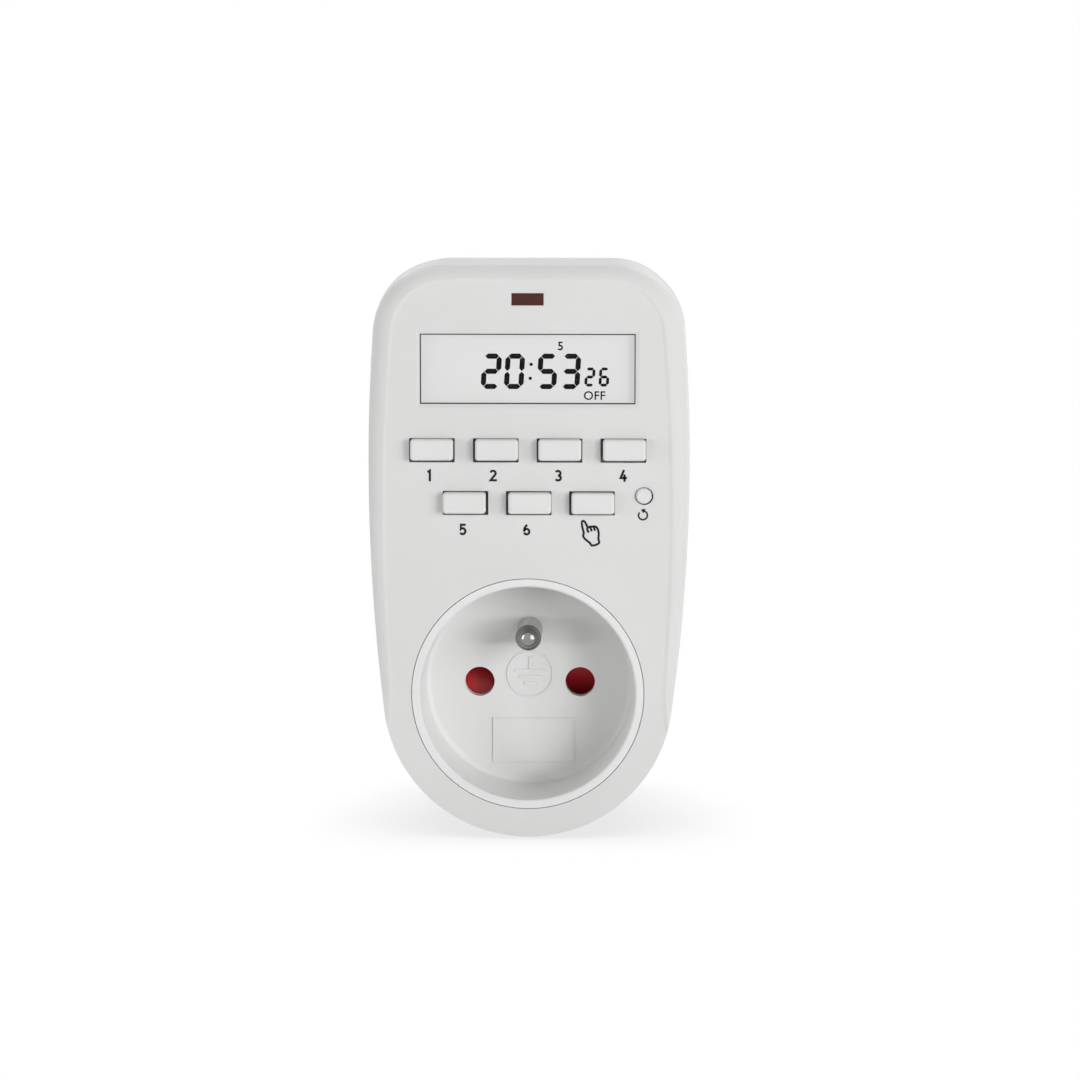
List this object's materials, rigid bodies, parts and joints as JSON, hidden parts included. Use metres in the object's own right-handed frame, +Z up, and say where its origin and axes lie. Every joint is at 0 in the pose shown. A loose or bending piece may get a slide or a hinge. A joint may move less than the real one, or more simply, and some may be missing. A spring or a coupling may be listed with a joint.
{
  "type": "plug-in timer switch",
  "caption": "Plug-in digital timer switch: grey case with a display, keys and a recessed earthed socket in front, and a round earthed plug behind.",
  "frame": {"origin": "midway between the two plug pins, in the plane of the plug's end face", "axes": "+Y runs back out of the plug's end face, along the plug pins; +Z points up, from the socket to the display; +X points right as seen from the front"},
  "size_m": [0.06, 0.0748, 0.1072],
  "materials": {
    "shell": "fine satin texture",
    "cup": "fine satin texture",
    "plug_plastic": "satin",
    "key": "satin",
    "window": "polished clear plastic",
    "display_cell": "grey reflective display cell",
    "frame_plastic": "satin",
    "zebra_rubber": "matte",
    "lens": "dark red, polished",
    "lamp": "diffused red",
    "keypad_rubber": "matte",
    "circuit_board": "green solder mask",
    "screw_steel": "zinc plated",
    "chip": "moulded",
    "can_metal": "bright",
    "ribbon": "smooth",
    "relay_case": "moulded blue",
    "film_case": "moulded yellow",
    "sleeve": "shrunk sleeve",
    "disc_coating": "dipped coating",
    "pin_plate": "nickel plate",
    "shutter_red": "moulded red",
    "spring_steel": "drawn wire",
    "carrier": "satin",
    "contact_brass": "stamped strip",
    "lead_brown": "insulation",
    "lead_black": "insulation",
    "lead_blue": "insulation"
  },
  "bodies": {
    "housing": {"front_cover": "shell", "rear_cover": "shell", "socket_cup": "cup", "display_window": "window", "lcd_glass": "display_cell", "lcd_frame": "frame_plastic", "zebra_strips": "zebra_rubber", "indicator_lens": "lens", "indicator_led": "lamp", "rubber_keypad": "keypad_rubber", "display_board": "circuit_board", "power_board": "circuit_board", "board_screws": "screw_steel", "housing_screws": "screw_steel", "controller_chip": "chip", "clock_crystal": "can_metal", "backup_battery": "can_metal", "board_link": "ribbon", "relay": "relay_case", "film_capacitor": "film_case", "smoothing_capacitor": "sleeve", "varistor": "disc_coating", "rectifier_diodes": "chip", "earth_pin": "pin_plate", "line_pin": "pin_plate", "neutral_pin": "pin_plate", "shutter_spring": "spring_steel", "contact_carrier": "carrier", "plug_base": "plug_plastic", "line_contact": "contact_brass", "neutral_contact": "contact_brass", "earth_strap": "contact_brass", "earth_receptacle": "contact_brass", "upper_earth_clip": "pin_plate", "lower_earth_clip": "pin_plate", "line_lead": "lead_brown", "load_lead": "lead_black", "neutral_lead": "lead_blue"},
    "week_button": {"week_button": "key"},
    "hour_button": {"hour_button": "key"},
    "minute_button": {"minute_button": "key"},
    "second_button": {"second_button": "key"},
    "clock_button": {"clock_button": "key"},
    "program_button": {"program_button": "key"},
    "manual_button": {"manual_button": "key"},
    "reset_button": {"reset_button": "key"},
    "shutter_rotor": {"safety_shutter": "shutter_red"}
  },
  "joints": [
    {"name": "week_press", "type": "slide", "parent": "housing", "child": "week_button", "axis": [0, 1, 0], "range_m": [0, 0.0007], "stiffness_N_per_m": 800, "springref_m": -0.0005, "deforming": ["rubber_keypad"]},
    {"name": "hour_press", "type": "slide", "parent": "housing", "child": "hour_button", "axis": [0, 1, 0], "range_m": [0, 0.0007], "stiffness_N_per_m": 800, "springref_m": -0.0005, "deforming": ["rubber_keypad"]},
    {"name": "minute_press", "type": "slide", "parent": "housing", "child": "minute_button", "axis": [0, 1, 0], "range_m": [0, 0.0007], "stiffness_N_per_m": 800, "springref_m": -0.0005, "deforming": ["rubber_keypad"]},
    {"name": "second_press", "type": "slide", "parent": "housing", "child": "second_button", "axis": [0, 1, 0], "range_m": [0, 0.0007], "stiffness_N_per_m": 800, "springref_m": -0.0005, "deforming": ["rubber_keypad"]},
    {"name": "clock_press", "type": "slide", "parent": "housing", "child": "clock_button", "axis": [0, 1, 0], "range_m": [0, 0.0007], "stiffness_N_per_m": 800, "springref_m": -0.0005, "deforming": ["rubber_keypad"]},
    {"name": "program_press", "type": "slide", "parent": "housing", "child": "program_button", "axis": [0, 1, 0], "range_m": [0, 0.0007], "stiffness_N_per_m": 800, "springref_m": -0.0005, "deforming": ["rubber_keypad"]},
    {"name": "manual_press", "type": "slide", "parent": "housing", "child": "manual_button", "axis": [0, 1, 0], "range_m": [0, 0.0007], "stiffness_N_per_m": 800, "springref_m": -0.0005, "deforming": ["rubber_keypad"]},
    {"name": "reset_press", "type": "slide", "parent": "housing", "child": "reset_button", "axis": [0, 1, 0], "range_m": [0, 0.0007], "stiffness_N_per_m": 800, "springref_m": -0.0005, "deforming": ["rubber_keypad"]},
    {"name": "shutter_turn", "type": "hinge", "parent": "housing", "child": "shutter_rotor", "pos_m": [0, -0.03365, 0], "axis": [0, -1, 0], "range_deg": [0, 38], "stiffness_Nm_per_rad": 0.002, "springref_deg": -17.19, "deforming": ["shutter_spring"]}
  ]
}
